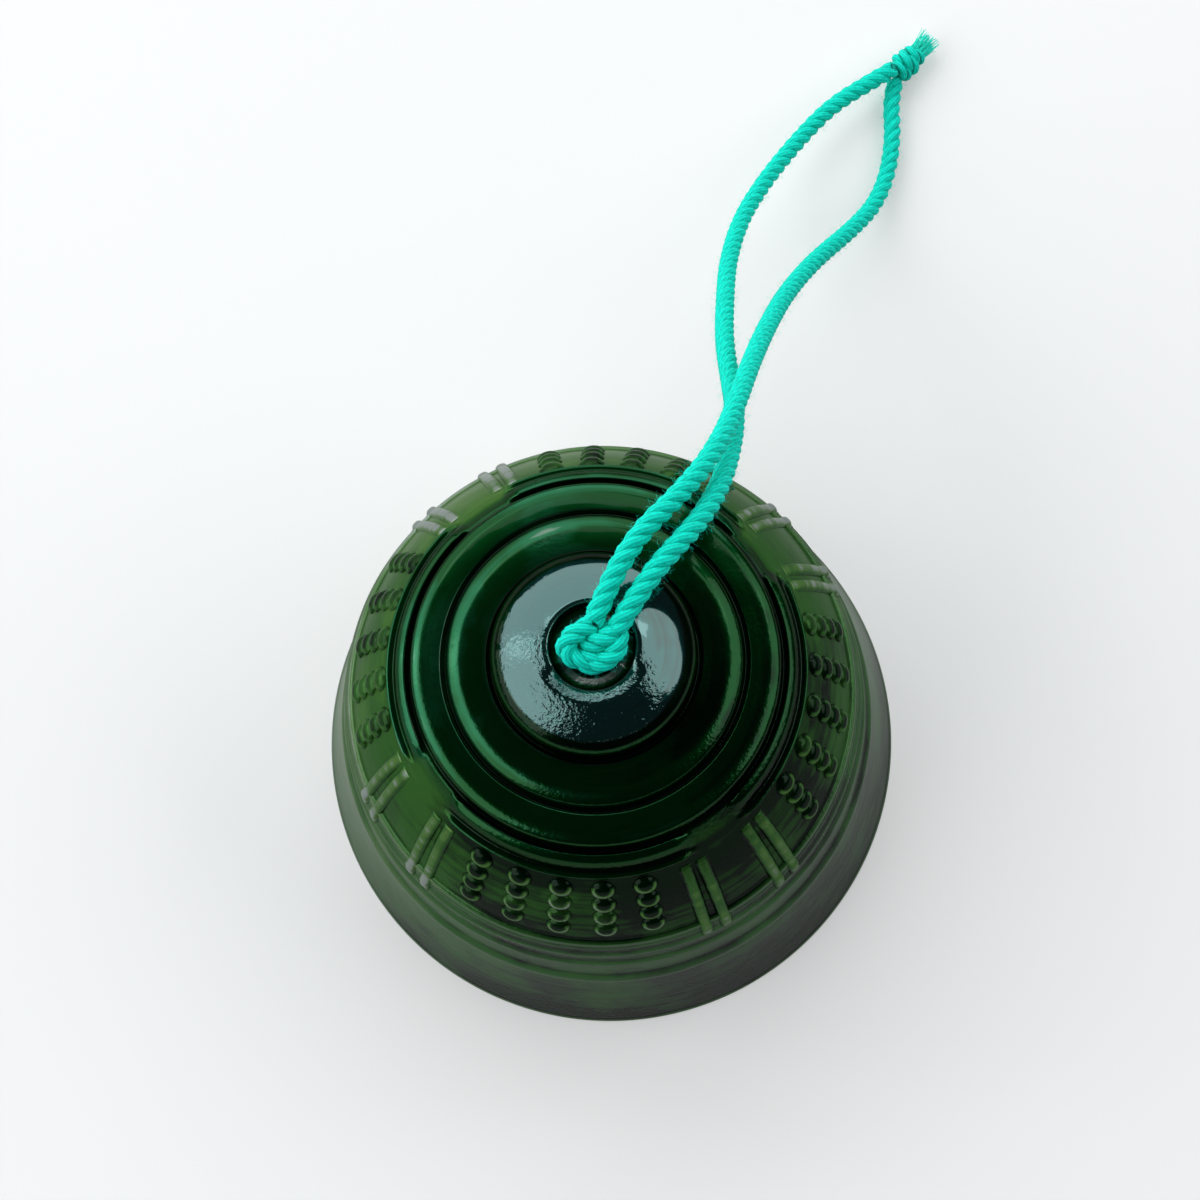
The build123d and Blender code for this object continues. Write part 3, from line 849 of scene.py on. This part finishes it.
def rope_piece(name, data, body, nodes, material=teal_cord):
    """A rope's mesh as a piece that rides on a body and stands for its CAD nodes."""
    points, faces, spots = data
    piece = new_piece(name, points, faces, material)
    layer = piece.data.uv_layers.new(name="yarn")
    layer.uv.foreach_set("vector", [value for spot in spots for value in spot])
    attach(piece, body)
    if nodes:
        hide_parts(*nodes)
    return piece


def smooth_line(route):
    """Points in metres along the smooth spline whose control points are a cord's route in mm."""
    curve = bpy.data.curves.new("route", "CURVE")
    curve.dimensions = "3D"
    curve.resolution_u = 16
    spline = curve.splines.new("NURBS")
    spline.points.add(len(route) - 1)
    for point, place in zip(spline.points, route):
        point.co = (*(Vector(place) * mm), 1)
    spline.order_u = 3
    spline.use_endpoint_u = True
    holder = bpy.data.objects.new("route", curve)
    mesh = bpy.data.meshes.new_from_object(holder)
    line = [vertex.co.copy() for vertex in mesh.vertices]
    bpy.data.objects.remove(holder)
    bpy.data.curves.remove(curve)
    bpy.data.meshes.remove(mesh)
    return line


def ropes_data(lines, diameter, lay, hairs_per_mm, seed):
    """Points, faces and UVs of several ropes of one cord, with their loose fibres."""
    joined = ([], [], [])
    for number, line in enumerate(lines):
        data = rope_data(line, diameter, lay, start_turn=seed + number)
        add_hairs(*data, line, diameter, hairs_per_mm, seed + number)
        shift = len(joined[0])
        joined[0].extend(data[0])
        joined[1].extend([[corner + shift for corner in face] for face in data[1]])
        joined[2].extend(data[2])
    return joined


def overhand(centre, width, depth, turn, cord_width):
    """Line of a tight overhand knot, seen from above as three lobes."""
    reach = width / 2 - cord_width / 2
    line = []
    steps = 120
    for step in range(steps + 1):
        angle = 2 * pi * step / steps
        x = reach * (sin(angle) + 2 * sin(2 * angle)) / 3
        y = reach * (cos(angle) - 2 * cos(2 * angle)) / 3
        z = -(depth / 2 - cord_width / 2) * sin(3 * angle)
        line.append(centre + Matrix.Rotation(turn, 3, "Z") @ Vector((x, y, z)))
    return line


knot_cord = 1.9 * mm
knot_lay = lay_length * 0.95
crown_turns = [
    [
        (-0.2, 1.6, 50.3),
        (-1.0, 0.9, 50.6),
        (-1.9, 0.2, 50.5),
        (-2.3, -0.7, 50.1),
        (-1.8, -1.4, 49.7),
        (-0.7, -1.6, 49.6),
        (0.4, -1.3, 49.5),
        (1.2, -0.6, 49.2),
        (1.3, 0.3, 48.7),
        (0.4, 0.6, 48.2),
    ],
    [(1.9, 1.3, 50.2), (1.2, 0.5, 50.4), (0.4, 0.1, 50.2), (-0.3, -0.1, 49.7), (-0.6, 0.3, 49.1)],
    [
        (1.0, 1.6, 49.4),
        (1.9, 1.6, 49.9),
        (2.4, 0.7, 50.0),
        (2.3, -0.4, 49.9),
        (1.5, -1.3, 49.7),
        (0.5, -1.8, 49.3),
        (-0.5, -1.7, 48.8),
    ],
]
crown_lines = [smooth_line(route) for route in crown_turns]
crown_data = ropes_data(crown_lines, knot_cord, knot_lay, hairs_per_mm=7, seed=11)
crown_knot = rope_piece("crown_knot_rope", crown_data, "cord", ["crown_knot"])

# The two runs of the cord that go down through the crown's hole to the clapper. They are the same teal
# cotton as the loop and lie side by side.
passage_low, passage_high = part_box("crown_cord")
passage_reach = passage_high.x - cord_diameter / 2
passage_lines = [
    [Vector((across, 0, passage_low.z)), Vector((across, 0, passage_high.z))]
    for across in (-passage_reach, passage_reach)
]
passage_data = ropes_data(passage_lines, cord_diameter, lay_length, hairs_per_mm=1, seed=61)
rope_piece("crown_passage_ropes", passage_data, "cord", ["crown_cord"])

# The hanging loop: the cord's two ends, each a limp strand that leaves the crown knot, goes over the back
# of the bell and comes down to the table. The right one lies there, the left one slopes down to the knot.
over_route = [
    (-0.2, 1.6, 50.3),
    (0.9, 6.0, 51.4),
    (2.8, 10.4, 51.6),
    (5.2, 14.0, 50.6),
    (7.2, 17.9, 48.7),
    (8.5, 22.2, 45.8),
    (9.1, 26.9, 41.6),
    (9.6, 32.9, 35.2),
    (10.4, 39.8, 27.0),
    (11.8, 47.5, 18.4),
    (14.4, 54.7, 11.4),
    (17.8, 61.0, 5.8),
    (20.4, 66.3, 2.3),
    (21.4, 71.4, 1.2),
    (21.2, 76.3, 1.1),
    (20.4, 80.0, 1.2),
    (20.6, 82.9, 1.1),
]
under_route = [
    (1.9, 1.3, 50.2),
    (3.7, 5.6, 51.3),
    (5.6, 9.0, 51.1),
    (7.5, 12.3, 49.8),
    (8.9, 16.7, 46.8),
    (9.3, 22.0, 42.0),
    (9.0, 27.4, 36.8),
    (7.8, 32.4, 31.7),
    (6.4, 38.2, 26.6),
    (5.6, 44.8, 21.0),
    (5.0, 51.6, 15.4),
    (5.5, 58.8, 10.4),
    (7.4, 65.3, 7.0),
    (10.1, 71.4, 4.8),
    (13.3, 76.9, 3.7),
    (16.9, 80.6, 3.1),
    (20.0, 83.2, 3.1),
]
strands = {}
for name, route, seed in (
    ("hanging_strand_over", over_route, 21),
    ("hanging_strand_under", under_route, 22),
):
    line = smooth_line(route)
    data = rope_data(line, cord_diameter, lay_length, start_turn=seed)
    add_hairs(*data, line, cord_diameter, per_mm=14, seed=seed)
    strands[name] = rope_piece(name + "_rope", data, "cord", [name]), evenly(line, 1.0 * mm), line

# The end knot, where the two ends are tied together and pulled tight, with short frayed tails. The tails
# are the cord's own fibres, where its plies come undone past the knot.
end_low, end_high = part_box("end_knot")
tails_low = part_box("end_tails")[0]
end_heading = radians(55.7)
end_way = Vector((cos(end_heading), sin(end_heading), 0))
end_centre = (end_low + end_high) / 2
end_cord = 1.55 * mm
end_length = 4.6 * mm
wrap_count = 2.6
end_side = Vector((-end_way.y, end_way.x, 0))
end_steps = 96
end_line = []
for step in range(end_steps + 1):
    share = step / end_steps
    turn = 2 * pi * wrap_count * share
    swell = 0.62 + 0.38 * sin(pi * share)
    spin = end_side * cos(turn) + Vector((0, 0, 1)) * sin(turn)
    off_axis = spin * (end_high.z / 2 - end_cord / 2) * swell
    end_line.append(end_centre + end_way * end_length * (share - 0.5) * 0.7 + off_axis)
end_data = rope_data(end_line, end_cord, lay_length * 0.9)
add_hairs(*end_data, end_line, end_cord, per_mm=5, seed=31)
end_knot = rope_piece("end_knot_rope", end_data, "cord", ["end_knot"])

tail_draw = random.Random(41)
tail_points, tail_faces, tail_spots = [], [], []
tail_root = end_centre + end_way * 1.2 * mm
tail_fibres = 150
fibre_radius = 0.085 * mm
for _ in range(tail_fibres):
    lean = end_side * tail_draw.gauss(0, 0.28) + Vector((0, 0, 1)) * tail_draw.gauss(0, 0.22)
    scatter = end_side * tail_draw.gauss(0, 0.42) + Vector((0, 0, 1)) * tail_draw.gauss(0, 0.3)
    start = tail_root + scatter * mm
    reach = tail_draw.uniform(2.4, 3.6) * mm
    first = len(tail_points)
    for step in range(5):
        share = step / 4
        centre = start + end_way * reach * share + lean * reach * share**1.6 * 0.5
        centre.z = max(centre.z, tails_low.z * 0.4)
        thick = fibre_radius * (1 - 0.7 * share)
        for side in range(4):
            around = pi / 2 * side
            tail_points.append(centre + (end_side * cos(around) + Vector((0, 0, 1)) * sin(around)) * thick)
    for step in range(4):
        for side in range(4):
            beside = (side + 1) % 4
            lower, upper = first + step * 4, first + (step + 1) * 4
            tail_faces.append((lower + beside, lower + side, upper + side, upper + beside))
            tail_spots += [(0.0, 0)] * 4
    tail_faces.append([first, first + 1, first + 2, first + 3])
    tail_faces.append([first + 19, first + 18, first + 17, first + 16])
    tail_spots += [(0.0, 0)] * 8
frayed_cord = cord_material("frayed_cord", (0.03, 0.8, 0.64), (0.0, 0.6, 0.48))
tail_data = (tail_points, tail_faces, tail_spots)
end_tails = rope_piece("end_tails_fibres", tail_data, "cord", ["end_tails"], frayed_cord)

for name, far_pieces in (
    ("hanging_strand_over", [end_knot, end_tails]),
    ("hanging_strand_under", [crown_knot]),
):
    piece, path, line = strands[name]

# The clapper under the crown: a stop knot, the doubled cord, a round brass plate carried by a second knot,
# and a small loop for a paper strip's thread.
stop_low, stop_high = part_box("stop_knot")
stop_centre = (stop_low + stop_high) / 2
knot_width = 6.1 * mm
stop_line = overhand(stop_centre, knot_width, stop_high.z - stop_low.z, radians(75), knot_cord)
stop_data = rope_data(stop_line, knot_cord, knot_lay)
add_hairs(*stop_data, stop_line, knot_cord, per_mm=2, seed=51)
rope_piece("stop_knot_rope", stop_data, "swivel", ["stop_knot"])

hang_low, hang_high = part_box("clapper_cord")
hang_reach = hang_high.x - cord_diameter / 2
hang_lines = [
    [Vector((across, 0, hang_low.z)), Vector((across, 0, hang_high.z))]
    for across in (-hang_reach, hang_reach)
]
hang_data = ropes_data(hang_lines, cord_diameter, lay_length, hairs_per_mm=1, seed=71)
rope_piece("clapper_ropes", hang_data, "clapper", ["clapper_cord"])

low_knot_low, low_knot_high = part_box("clapper_knot")
low_knot_centre = (low_knot_low + low_knot_high) / 2
low_knot_depth = low_knot_high.z - low_knot_low.z
low_knot_line = overhand(low_knot_centre, knot_width, low_knot_depth, radians(40), knot_cord)
low_knot_data = rope_data(low_knot_line, knot_cord, knot_lay)
add_hairs(*low_knot_data, low_knot_line, knot_cord, per_mm=2, seed=52)
rope_piece("clapper_knot_rope", low_knot_data, "clapper", ["clapper_knot"])

loop_low, loop_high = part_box("clapper_tail")
loop_reach = loop_high.x - cord_diameter / 2
loop_bend = loop_low.z + cord_diameter / 2 + loop_reach
loop_steps = 16
loop_line = [Vector((-loop_reach, 0, loop_high.z))]
for step in range(loop_steps + 1):
    turn = pi * step / loop_steps
    loop_line.append(Vector((-loop_reach * cos(turn), 0, loop_bend - loop_reach * sin(turn))))
loop_line.append(Vector((loop_reach, 0, loop_high.z)))
loop_data = rope_data(loop_line, cord_diameter, lay_length)
add_hairs(*loop_data, loop_line, cord_diameter, per_mm=3, seed=53)
rope_piece("clapper_loop_rope", loop_data, "clapper", ["clapper_tail"])


def brass_material():
    """Brass plate with turning marks round its middle and a dull, handled surface."""
    material = bpy.data.materials.new("clapper_brass")
    material.use_nodes = True
    tree = material.node_tree
    shader = tree.nodes["Principled BSDF"]
    place = set_node(tree, "ShaderNodeTexCoord")
    turning = set_node(tree, "ShaderNodeTexWave", {"Scale": 900.0, "Distortion": 1.5, "Detail": 1.0})
    turning.wave_type = "RINGS"
    turning.rings_direction = "Z"
    stains = set_node(tree, "ShaderNodeTexNoise", {"Scale": 160.0, "Detail": 4.0})
    colours = set_node(tree, "ShaderNodeMix", data_type="RGBA")
    colours.inputs["A"].default_value = (0.42, 0.28, 0.1, 1)
    colours.inputs["B"].default_value = (0.66, 0.5, 0.23, 1)
    gloss = set_node(tree, "ShaderNodeMapRange", {"To Min": 0.45, "To Max": 0.25})
    bump = set_node(tree, "ShaderNodeBump", {"Strength": 0.25, "Distance": 0.02 * mm})
    link = tree.links.new
    link(place.outputs["Object"], turning.inputs["Vector"])
    link(place.outputs["Object"], stains.inputs["Vector"])
    link(stains.outputs["Fac"], colours.inputs["Factor"])
    link(stains.outputs["Fac"], gloss.inputs["Value"])
    link(turning.outputs["Fac"], bump.inputs["Height"])
    link(colours.outputs["Result"], shader.inputs["Base Color"])
    link(gloss.outputs["Result"], shader.inputs["Roughness"])
    link(bump.outputs["Normal"], shader.inputs["Normal"])
    shader.inputs["Metallic"].default_value = 1.0
    return material


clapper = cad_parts["clapper_disc"]
clapper.data.materials.clear()
clapper.data.materials.append(brass_material())

# The table under the bell, a plain pale sheet with a matt face. It isn't part of the bell, and only
# carries it and takes its shadow.
table_mesh = bpy.data.meshes.new("table")
table_half = 1.5
table_mesh.from_pydata(
    [(x * table_half, y * table_half, 0) for x, y in ((-1, -1), (1, -1), (1, 1), (-1, 1))],
    [],
    [(0, 1, 2, 3)],
)


def table_finish():
    """Matt white sheet, whose own shade is lifted where the eye, gloss or glass sees it."""
    material = bpy.data.materials.new("pale_table")
    material.use_nodes = True
    tree = material.node_tree
    shader = tree.nodes["Principled BSDF"]
    shader.inputs["Base Color"].default_value = (0.79, 0.79, 0.79, 1)
    shader.inputs["Roughness"].default_value = 0.8
    shader.inputs["Specular IOR Level"].default_value = 0.1
    glow = set_node(tree, "ShaderNodeEmission", {"Color": (0.94, 0.95, 0.95, 1), "Strength": 1.0})
    path = set_node(tree, "ShaderNodeLightPath")
    seen = set_node(tree, "ShaderNodeMath", operation="MAXIMUM")
    seen_through = set_node(tree, "ShaderNodeMath", operation="MAXIMUM")
    share = set_node(tree, "ShaderNodeMath", {1: 0.3}, operation="MULTIPLY")
    mix = set_node(tree, "ShaderNodeMixShader")
    link = tree.links.new
    link(path.outputs["Is Camera Ray"], seen.inputs[0])
    link(path.outputs["Is Glossy Ray"], seen.inputs[1])
    link(seen.outputs[0], seen_through.inputs[0])
    link(path.outputs["Is Transmission Ray"], seen_through.inputs[1])
    link(seen_through.outputs[0], share.inputs[0])
    link(share.outputs[0], mix.inputs["Fac"])
    link(shader.outputs[0], mix.inputs[1])
    link(glow.outputs[0], mix.inputs[2])
    link(mix.outputs[0], tree.nodes["Material Output"].inputs["Surface"])
    return material


table_mesh.materials.append(table_finish())
table = bpy.data.objects.new("table", table_mesh)
scene.collection.objects.link(table)

# Soft studio light: a wide window at the back with a narrow strip over it, one at the left, an oval one
# at the right, and a dim room elsewhere.
world = bpy.data.worlds.new("room")
scene.world = world
world.use_nodes = True
world.node_tree.nodes["Background"].inputs["Color"].default_value = (0.9, 0.95, 1.0, 1)
world.node_tree.nodes["Background"].inputs["Strength"].default_value = 0.04


def window(name, heading, height_angle, width_angle, tall_angle, radiance, colour, shape="RECTANGLE"):
    """A soft window light a metre away from the bell, given by where it stands and how large it looks."""
    light = bpy.data.lights.new(name, "AREA")
    light.shape = shape
    light.size, light.size_y = 2 * tan(radians(width_angle / 2)), 2 * tan(radians(tall_angle / 2))
    light.energy = radiance * pi * light.size * light.size_y * (pi / 4 if shape == "ELLIPSE" else 1)
    light.color = colour
    lamp = bpy.data.objects.new(name, light)
    level = cos(radians(height_angle))
    away = Vector((level * cos(radians(heading)), level * sin(radians(heading)), sin(radians(height_angle))))
    lamp.location = Vector((0, 0, crown_top)) + away
    lamp.rotation_euler = away.to_track_quat("Z", "Y").to_euler()
    scene.collection.objects.link(lamp)


window("window_back", 123, 29, 102, 46, 2.4, (0.96, 0.99, 1.0))
window("window_over_back", 95, 58, 70, 12, 2.3, (0.96, 0.99, 1.0))
window("window_left", 207, 30, 64, 46, 2.85, (0.98, 0.99, 1.0))
window("window_right", 20, 37, 62, 38, 2.6, (0.98, 0.99, 1.0), shape="ELLIPSE")

# The camera, nearly overhead and a little in front, as the photograph has it. Its place and turn were
# fitted to the bell's rings.
lens = bpy.data.cameras.new("camera")
lens.sensor_width = 36
lens.lens = 63
lens.clip_start = 0.01
camera = bpy.data.objects.new("camera", lens)
right = Vector((0.9856, 0.1649, -0.0375))
up = Vector((-0.1523, 0.9618, 0.2276))
back = Vector((0.0736, -0.2187, 0.973))
turned = Matrix((right, up, back)).transposed()
camera.matrix_world = Matrix.Translation(Vector((13.78, -36.7, 230.9)) * mm) @ turned.to_4x4()
scene.collection.objects.link(camera)
scene.camera = camera
